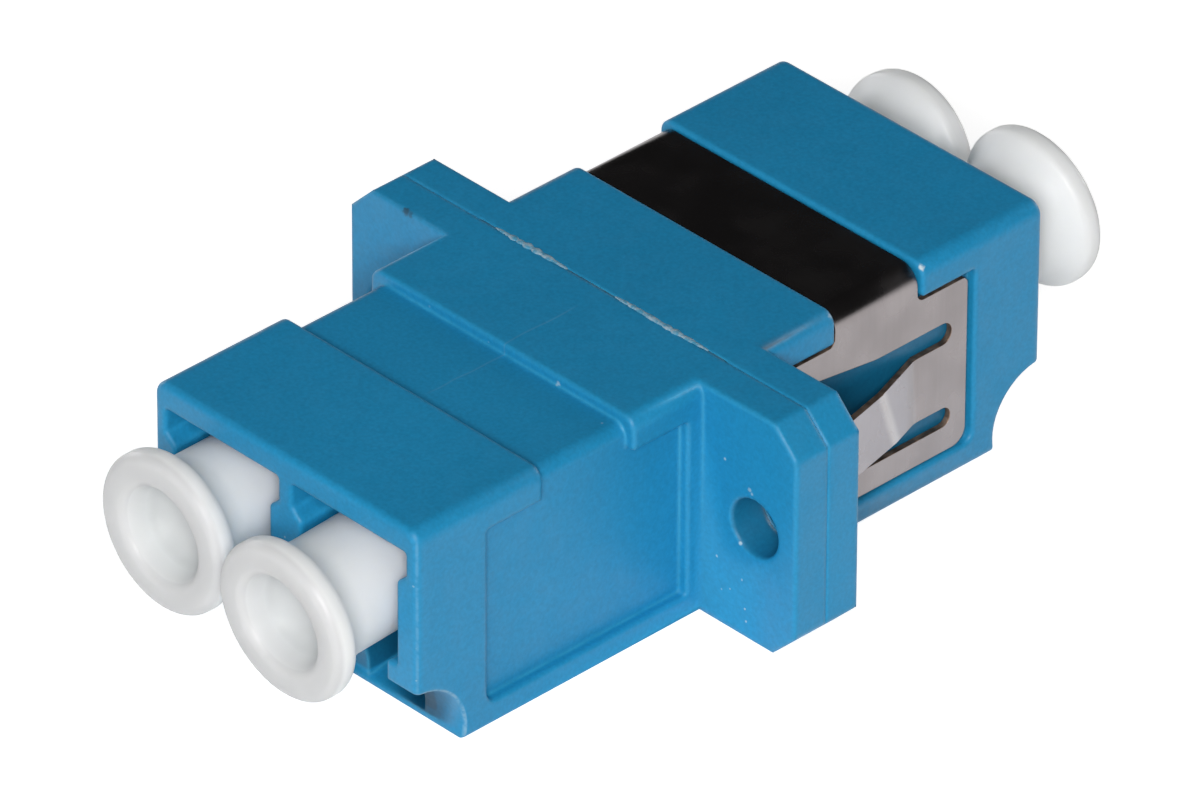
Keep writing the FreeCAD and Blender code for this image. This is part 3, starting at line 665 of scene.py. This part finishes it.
def cap_material(settings):
    """Waxy translucent plastic with slow uneven tone and soft highlights, and painted light:
    surfaces that face out of the port are painted darker than the barrel, a little lighter deep
    in the cup.
    """
    material, tree, shader = new_material(
        "cap_white", **{"Subsurface Weight": 1.0, "Subsurface Scale": settings.glow_depth,
                        "Subsurface Radius": (1.0, 1.0, 0.95)})
    normal = add_node(tree, "ShaderNodeSeparateXYZ", {
        "Vector": add_node(tree, "ShaderNodeNewGeometry").outputs["Normal"]}).outputs["Y"]
    along = coordinates(tree)[1]
    # painted light and shade: the tone is chosen by which way the surface faces
    outward = calculate(tree, "MULTIPLY", normal, calculate(tree, "SIGN", along))
    in_cup = ramp(tree, calculate(tree, "ABSOLUTE", along), CUP_MOUTH, CUP_MOUTH - CUP_FADE)
    facing = mix_colours(tree, in_cup, opaque(settings.thin), opaque(settings.cup))
    base = mix_colours(tree, ramp(tree, outward, -0.1, 0.55), opaque(settings.plastic), facing)
    toned = scaled_colour(tree, base,
                          use_group(tree, "Mottle", features=0.35, depth=0.03)["Factor"])
    tree.links.new(dusted(tree, toned, settings.dust, spacing=0.9, size=0.06, share=0.1),
                   shader.inputs["Base Color"])
    rough = ramp(tree, noise_at(tree, millimetres(tree), 0.9, 3.0), 0.3, 0.7, 0.33, 0.46)
    rough = calculate(tree, "ADD", rough, calculate(tree, "MULTIPLY", in_cup, 0.16))
    tree.links.new(rough, shader.inputs["Roughness"])
    bump_into(tree, shader, use_group(tree, "Surface grain", features=3.5, waves=0.7,
                                      grain_height=0.0012, wave_height=0.03)["Height"])
    return material


def sleeve_material():
    """Ground ceramic with fine rings from the grinding."""
    material, tree, shader = new_material("sleeve_ceramic", **{"Specular IOR Level": 0.6})
    rings = noise_at(tree, millimetres(tree, (0.1, 14.0, 0.1)), 1.0, 3.0)
    tree.links.new(mix_colours(tree, ramp(tree, rings, 0.3, 0.7), (0.82, 0.81, 0.76, 1.0),
                               (0.88, 0.87, 0.83, 1.0)), shader.inputs["Base Color"])
    tree.links.new(ramp(tree, rings, 0.3, 0.7, 0.16, 0.26), shader.inputs["Roughness"])
    bump_into(tree, shader, calculate(tree, "MULTIPLY", rings, 0.0008 * MM))
    return material


# -------- meshes

def inside_body(edge):
    """Is this edge of a moulding out of reach inside the ports?"""
    return all(abs(vert.co.y) < PORT_FACE - PORT_MOUTH and abs(vert.co.x) < INNER_HALF_WIDTH
               and INNER_FLOOR < vert.co.z < BODY_TOP - INNER_ROOF
               for vert in edge.verts)


def merged_copy(node):
    """A CAD node's mesh as one closed surface with undivided flat faces."""
    mesh = bmesh.new()
    mesh.from_mesh(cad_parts[node].data)
    bmesh.ops.remove_doubles(mesh, verts=mesh.verts, dist=SAME_PLACE)
    bmesh.ops.dissolve_limit(mesh, angle_limit=math.radians(FLAT_TURN), verts=mesh.verts,
                             edges=mesh.edges)
    mesh.normal_update()
    return mesh


def round_edges(mesh, radius, kind, wanted=lambda edge: True):
    """Rounds every wanted edge that turns by more than this kind of piece allows."""
    turn = math.radians(ROUNDED[kind])
    chosen = [edge for edge in mesh.edges
              if len(edge.link_faces) == 2 and edge.calc_face_angle(0.0) > turn and wanted(edge)]
    bmesh.ops.bevel(mesh, geom=chosen, offset=radius, offset_type="OFFSET", segments=3,
                    profile=0.5, affect="EDGES", clamp_overlap=False, material=-1,
                    miter_outer="ARC")


def add_piece(name, mesh, body, materials, kind):
    """Object from a bmesh, smooth up to its kind's crease angle, riding on a body."""
    data = bpy.data.meshes.new(name)
    mesh.to_mesh(data)
    mesh.free()
    for material in materials:
        data.materials.append(material)
    data.shade_smooth()
    data.set_sharp_from_angle(angle=math.radians(CREASES[kind]))
    piece = bpy.data.objects.new(name, data)
    bpy.context.scene.collection.objects.link(piece)
    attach(piece, body)
    return piece


def keep_faces_flat(piece):
    """Leaves large faces flat and lets the rounded edges take the turn of the light."""
    modifier = piece.modifiers.new("Weighted normals", "WEIGHTED_NORMAL")
    modifier.mode = "FACE_AREA"
    modifier.weight = 60
    modifier.keep_sharp = True


def cap_corners(cap):
    """Half section of a dust cap: (radius, height above the port face, corner radius)."""
    face = cap.stand_off
    floor = face - cap.cup_depth
    underside = floor - cap.web
    bead_top = -cap.bead_depth + cap.bead_width / 2
    bead_foot = -cap.bead_depth - cap.bead_width / 2
    inner_end = -cap.bead_depth - cap.nose_length
    rim_back = face - cap.rim_thickness
    return [
        (0.0, underside, 0.0),
        (cap.bore_radius, underside, cap.bore_corner),
        (cap.bore_radius, inner_end, cap.bore_edge),
        (cap.nose_radius, inner_end, cap.nose_edge),
        (cap.barrel_radius, bead_foot - cap.bead_ramp, 0.0),
        (cap.bead_radius, bead_foot, cap.bead_edge),
        (cap.bead_radius, bead_top, cap.bead_edge),
        (cap.barrel_radius, bead_top + cap.bead_ramp, cap.bead_edge),
        (cap.barrel_radius, cap.flare_start, cap.flare_radius),
        (cap.rim_radius, rim_back, cap.rim_edge_radius),
        (cap.rim_radius, face, cap.rim_edge_radius),
        (cap.cup_radius, face, cap.cup_mouth_edge),
        (cap.cup_radius - cap.cup_taper, floor, cap.cup_floor_edge),
        (0.0, floor, 0.0),
    ]


def rounded_section(corners, steps):
    """Outline through the corners in the XY plane, with each one turned by its radius."""
    mesh = bmesh.new()
    places = [Vector((u, v, 0.0)) for u, v, _ in corners]
    points = [mesh.verts.new(place) for place in places]
    mesh.faces.new(points)
    for index, (_, _, radius) in enumerate(corners):
        if radius:
            back = places[index - 1] - places[index]
            ahead = places[(index + 1) % len(places)] - places[index]
            reach = radius / math.tan(back.angle(ahead) / 2)
            bmesh.ops.bevel(mesh, geom=[points[index]], offset=reach, offset_type="OFFSET",
                            segments=steps, profile=0.5, affect="VERTICES",
                            clamp_overlap=False, material=-1)
    bmesh.ops.delete(mesh, geom=mesh.faces[:], context="FACES_ONLY")
    return mesh


def turned_cap(cap):
    """Closed dust cap turned about the Y axis, with the port face at the origin."""
    mesh = rounded_section(cap_corners(cap), cap.rounding)
    on_axis = [edge for edge in mesh.edges if all(abs(v.co.x) < SAME_PLACE for v in edge.verts)]
    bmesh.ops.delete(mesh, geom=on_axis, context="EDGES")
    bmesh.ops.spin(mesh, geom=mesh.verts[:] + mesh.edges[:], cent=(0, 0, 0), axis=(0, 1, 0),
                   angle=2 * math.pi, steps=cap.steps, use_merge=True)
    bmesh.ops.remove_doubles(mesh, verts=mesh.verts, dist=2 * SAME_PLACE)
    bmesh.ops.recalc_face_normals(mesh, faces=mesh.faces)
    return mesh


def seat_cap(mesh, cap, end, side, pull, droop):
    """Turns a cap about its bead, pulls it out and sets it in its port."""
    bead = Vector((0.0, -cap.bead_depth, 0.0))
    tilt = Matrix.Rotation(-math.asin(droop * MM / cap.bead_depth), 4, "X")
    place = Matrix.Translation((end * side * PORT_X, PORT_FACE + pull * MM, PORT_Z))
    half_turn = Matrix.Rotation(0.0 if end > 0 else math.pi, 4, "Z")
    seat = half_turn @ place @ Matrix.Translation(bead) @ tilt @ Matrix.Translation(-bead)
    bmesh.ops.transform(mesh, matrix=seat, verts=mesh.verts)


def is_cut_edge(face):
    """Does this face of the clip lie on a sheared edge of the sheet?"""
    normal = face.normal
    on_plate = face.calc_center_median().z < CLIP_HIGH.z - CLIP_BENDS
    return abs(normal.y) > 0.7 or (on_plate and abs(normal.z) > 0.7)


def weld_flash(start, end, settings, seed):
    """Ragged bead of plastic pressed out of the seam on top of the flange."""
    mesh = bmesh.new()
    span = end - start
    along = Matrix.Translation(((start + end) / 2, 0.0, BODY_TOP)) @ Matrix.Rotation(
        math.pi / 2, 4, "Y")
    bmesh.ops.create_cone(mesh, cap_ends=True, segments=10, radius1=1.0, radius2=1.0,
                          depth=1.0)
    bmesh.ops.subdivide_edges(mesh, edges=[e for e in mesh.edges
                                           if abs(e.verts[0].co.z - e.verts[1].co.z) > 0.5],
                              cuts=120, use_grid_fill=True)
    for vert in mesh.verts:
        passed = vert.co.z + 0.5
        fade = math.sin(math.pi * passed) ** 0.35 if 0 < passed < 1 else 0.0
        along_mm = vert.co.z * span / MM
        ragged = 0.55 + 0.9 * abs(noise.noise((along_mm * 2.3, seed, 0.0)))
        thick = settings.flash_height * fade * ragged
        drift = 0.04 * MM * noise.noise((along_mm * 0.8, seed + 5.0, 0.0))
        vert.co = (vert.co.x * thick, vert.co.y * thick * FLASH_WIDTH + drift * fade,
                   vert.co.z * span)
    bmesh.ops.remove_doubles(mesh, verts=mesh.verts, dist=SAME_PLACE / 2)
    bmesh.ops.transform(mesh, matrix=along, verts=mesh.verts)
    bmesh.ops.recalc_face_normals(mesh, faces=mesh.faces)
    return mesh


# -------- operators

class ADAPTER_OT_housings(bpy.types.Operator):
    """Finish both half housings: rounded edges and satin blue plastic"""
    bl_idname = "adapter.housings"
    bl_label = "Housings"

    def execute(self, context):
        settings = context.scene.adapter_housing
        material = housing_material(settings)

        def outer(edge):
            in_seam = all(abs(vert.co.y) < settings.seam_keep for vert in edge.verts)
            return edge.is_convex and not in_seam and not inside_body(edge)

        for node in ("front_housing", "rear_housing"):
            mesh = merged_copy(node)
            round_edges(mesh, settings.edge_radius, "moulding", outer)
            piece = add_piece(node.replace("housing", "moulding"), mesh, "adapter",
                              [material], "moulding")
            keep_faces_flat(piece)
            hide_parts(node)
        return {"FINISHED"}


class ADAPTER_OT_weld(bpy.types.Operator):
    """Lay the whitened weld flash along the flange seam"""
    bl_idname = "adapter.weld"
    bl_label = "Weld flash"

    def execute(self, context):
        settings = context.scene.adapter_housing
        material = flash_material(settings)
        for side, start, end in FLASH_SPANS:
            mesh = weld_flash(start * MM, end * MM, settings, FLASH_SEED + start)
            add_piece(f"weld_flash_{side}", mesh, "adapter", [material], "flash")
        return {"FINISHED"}


class ADAPTER_OT_sleeves(bpy.types.Operator):
    """Finish the two split ceramic sleeves"""
    bl_idname = "adapter.sleeves"
    bl_label = "Sleeves"

    def execute(self, context):
        material = sleeve_material()
        for side in ("left", "right"):
            mesh = merged_copy(f"{side}_sleeve")
            round_edges(mesh, SLEEVE_EDGE, "sleeve")
            piece = add_piece(f"{side}_ceramic_sleeve", mesh, "adapter",
                              [material], "sleeve")
            keep_faces_flat(piece)
            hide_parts(f"{side}_sleeve")
        return {"FINISHED"}


class ADAPTER_OT_clip(bpy.types.Operator):
    """Finish the folded steel clip, with its sheared edges apart"""
    bl_idname = "adapter.clip"
    bl_label = "Panel clip"

    def execute(self, context):
        settings = context.scene.adapter_clip
        mesh = merged_copy("panel_clip")
        for face in mesh.faces:
            face.material_index = int(is_cut_edge(face))
        round_edges(mesh, settings.edge_radius, "clip")
        piece = add_piece("steel_clip", mesh, "adapter",
                          [clip_material(settings), cut_edge_material(settings)], "clip")
        keep_faces_flat(piece)
        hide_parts("panel_clip")
        return {"FINISHED"}


class ADAPTER_OT_caps(bpy.types.Operator):
    """Turn the four dust caps and seat each in its port"""
    bl_idname = "adapter.caps"
    bl_label = "Dust caps"

    def execute(self, context):
        settings = context.scene.adapter_cap
        material = cap_material(settings)
        for seat, placing in CAP_SEATS.items():
            mesh = turned_cap(settings)
            seat_cap(mesh, settings, *placing)
            piece = add_piece(f"{seat}_waxy_cap", mesh, f"{seat}_cap", [material],
                              "cap")
            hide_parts(f"{seat}_dust_cap")
        return {"FINISHED"}


def direction(azimuth, elevation):
    """Unit vector towards a place round the adapter: azimuth 0 is the front."""
    return Vector((math.sin(azimuth) * math.cos(elevation),
                   -math.cos(azimuth) * math.cos(elevation), math.sin(elevation)))


def place_camera(stage, centre):
    """Camera that looks at the body's middle, with its small offsets and roll."""
    back = direction(stage.azimuth, stage.elevation)
    level = Vector((math.cos(stage.azimuth), math.sin(stage.azimuth), 0.0))
    right = level * math.cos(stage.roll) + back.cross(level) * math.sin(stage.roll)
    up = back.cross(right)
    place = centre + back * stage.distance - right * stage.offset_right - up * stage.offset_up
    data = bpy.data.cameras.new("camera")
    data.lens = stage.lens
    data.sensor_width = SENSOR_WIDTH
    data.clip_end = 20.0
    camera = bpy.data.objects.new("camera", data)
    axes = Matrix((right, up, back)).transposed().to_4x4()
    camera.matrix_world = Matrix.Translation(place) @ axes
    bpy.context.scene.collection.objects.link(camera)
    bpy.context.scene.camera = camera


def add_lamp(name, centre, azimuth, elevation, received, distance, size, tint):
    """Square soft lamp; a surface facing it receives `received`, where 1 shows a colour as it is
    written."""
    data = bpy.data.lights.new(name, "AREA")
    data.size = size
    data.energy = received * (math.pi * distance) ** 2
    data.color = tint
    lamp = bpy.data.objects.new(name, data)
    towards = direction(azimuth, elevation)
    turn = towards.to_track_quat("Z", "Y").to_matrix().to_4x4()
    lamp.matrix_world = Matrix.Translation(centre + towards * distance) @ turn
    lamp.visible_camera = False
    bpy.context.scene.collection.objects.link(lamp)


def seen_directly(tree):
    """1 on rays from the camera, mirrors and glass, 0 on the rays that light the object."""
    rays = add_node(tree, "ShaderNodeLightPath").outputs
    seen = calculate(tree, "MAXIMUM", rays["Is Camera Ray"], rays["Is Glossy Ray"])
    return calculate(tree, "MAXIMUM", seen, rays["Is Transmission Ray"])


def build_world(ambient):
    """Even dim light all round."""
    world = bpy.data.worlds.new("studio")
    world.use_nodes = True
    background = world.node_tree.nodes["Background"]
    background.inputs["Color"].default_value = opaque(WHITE)
    background.inputs["Strength"].default_value = ambient
    bpy.context.scene.world = world


def pale_material():
    """Pale matt surface that reads as white and keeps a soft shadow."""
    material = bpy.data.materials.new("surround_pale")
    material.use_nodes = True
    tree = material.node_tree
    tree.nodes.clear()
    lit = add_node(tree, "ShaderNodeBsdfDiffuse", {"Color": (0.80, 0.80, 0.80, 1.0)})
    lift = add_node(tree, "ShaderNodeMapRange", {"Value": seen_directly(tree), "To Min": 0.0,
                                                 "To Max": 0.75})
    glow = add_node(tree, "ShaderNodeEmission", {"Strength": lift.outputs["Result"]})
    both = add_node(tree, "ShaderNodeAddShader", {0: lit.outputs[0], 1: glow.outputs[0]})
    add_node(tree, "ShaderNodeOutputMaterial", {"Surface": both.outputs[0]})
    return material


def build_surround():
    """Wide pale floor, and a low round wall far off that closes the horizon."""
    material = pale_material()
    floor = bmesh.new()
    bmesh.ops.create_circle(floor, cap_ends=True, segments=64, radius=SURROUND_RADIUS)
    bmesh.ops.translate(floor, verts=floor.verts, vec=(0.0, 0.0, -0.01 * MM))
    wall = bmesh.new()
    bmesh.ops.create_circle(wall, segments=64, radius=SURROUND_RADIUS)
    raised = bmesh.ops.extrude_edge_only(wall, edges=wall.edges)["geom"]
    bmesh.ops.translate(wall, verts=[v for v in raised if isinstance(v, bmesh.types.BMVert)],
                        vec=(0.0, 0.0, SURROUND_HEIGHT))
    for name, mesh in (("floor", floor), ("backdrop", wall)):
        data = bpy.data.meshes.new(name)
        mesh.to_mesh(data)
        mesh.free()
        data.materials.append(material)
        surface = bpy.data.objects.new(name, data)
        bpy.context.scene.collection.objects.link(surface)


class ADAPTER_OT_stage(bpy.types.Operator):
    """Set the camera, the soft lamps, the world and the floor"""
    bl_idname = "adapter.stage"
    bl_label = "Studio"

    def execute(self, context):
        stage = context.scene.adapter_stage
        centre = Vector((0.0, 0.0, BODY_TOP / 2))
        place_camera(stage, centre)
        for name, _, _, _, *build in LAMPS:
            aim = (getattr(stage, f"{name}_{key}") for key in ("azimuth", "elevation", "light"))
            add_lamp(name, centre, *aim, *build)
        build_world(stage.ambient)
        build_surround()
        context.scene.view_settings.view_transform = "Standard"
        return {"FINISHED"}


# -------- panel and registration

OPERATORS = (ADAPTER_OT_housings, ADAPTER_OT_weld, ADAPTER_OT_sleeves, ADAPTER_OT_clip,
             ADAPTER_OT_caps, ADAPTER_OT_stage)


class ADAPTER_PT_panel(bpy.types.Panel):
    """Lists the adapter's pieces and their settings"""
    bl_idname = "ADAPTER_PT_panel"
    bl_label = "Fibre adapter"
    bl_space_type = "VIEW_3D"
    bl_region_type = "UI"
    bl_category = "Adapter"

    def draw(self, context):
        for operator in OPERATORS:
            self.layout.operator(operator.bl_idname)
        for name, settings in SETTINGS.items():
            box = self.layout.box()
            box.label(text=settings.__name__.replace("Settings", ""))
            for key in settings.__annotations__:
                box.prop(getattr(context.scene, name), key)


CLASSES = (*SETTINGS.values(), *OPERATORS, ADAPTER_PT_panel)


def register():
    """Adds the classes and the scene's settings."""
    for cls in CLASSES:
        bpy.utils.register_class(cls)
    for name, settings in SETTINGS.items():
        setattr(bpy.types.Scene, name, PointerProperty(type=settings))


def unregister():
    """Takes them out again."""
    for name in SETTINGS:
        delattr(bpy.types.Scene, name)
    for cls in reversed(CLASSES):
        bpy.utils.unregister_class(cls)


def corners(bounds):
    """Both corners of a box as plain lists."""
    return [list(corner) for corner in bounds]


def main():
    """Makes every piece and the stage."""
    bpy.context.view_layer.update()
    register()
    build_groups()
    for operator in OPERATORS:
        getattr(bpy.ops.adapter, operator.bl_idname.split(".")[1])()


if __name__ == "__main__":
    main()
